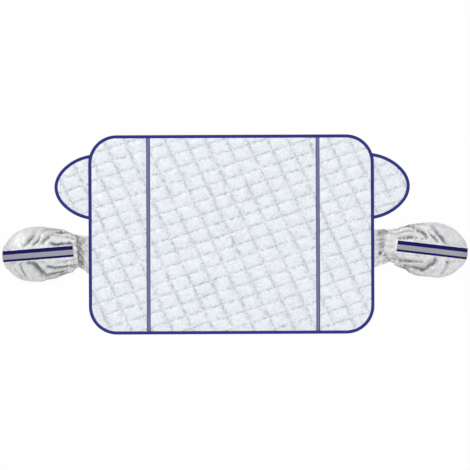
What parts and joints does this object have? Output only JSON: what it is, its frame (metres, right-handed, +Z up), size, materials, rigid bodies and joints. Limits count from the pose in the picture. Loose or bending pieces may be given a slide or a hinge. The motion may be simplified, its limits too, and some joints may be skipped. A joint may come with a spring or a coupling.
{
  "type": "windshield frost cover",
  "caption": "Quilted windshield cover with bound edges, two sewn tapes, door flaps and gathered mirror pouches with reflective strips, lying flat face up.",
  "frame": {"origin": "on the surface the cover lies on, under the middle of the quilted sheet", "axes": "+X along the windshield to the picture's right, +Y towards the picture's top, +Z up from the lying cover's face"},
  "size_m": [2.3884, 1.02, 0.0781],
  "materials": {
    "quilted_cloth": "silvery white quilted foil cloth",
    "binding": "dark blue woven binding",
    "tape": "blue woven tape",
    "silver_cloth": "thin crinkled silver cloth",
    "elastic": "white woven elastic",
    "strip_webbing": "navy woven webbing",
    "reflector": "grey reflective tape"
  },
  "bodies": {
    "root": {"main_panel": "quilted_cloth", "main_binding": "binding", "left_tape": "tape", "right_tape": "tape", "left_flap": "quilted_cloth", "right_flap": "quilted_cloth", "left_flap_binding": "binding", "right_flap_binding": "binding", "left_mirror_pouch": "silver_cloth", "right_mirror_pouch": "silver_cloth", "left_neck": "silver_cloth", "right_neck": "silver_cloth", "left_elastic": "elastic", "right_elastic": "elastic", "left_strip_webbing": "strip_webbing", "right_strip_webbing": "strip_webbing", "left_reflector": "reflector", "right_reflector": "reflector"}
  },
  "joints": []
}
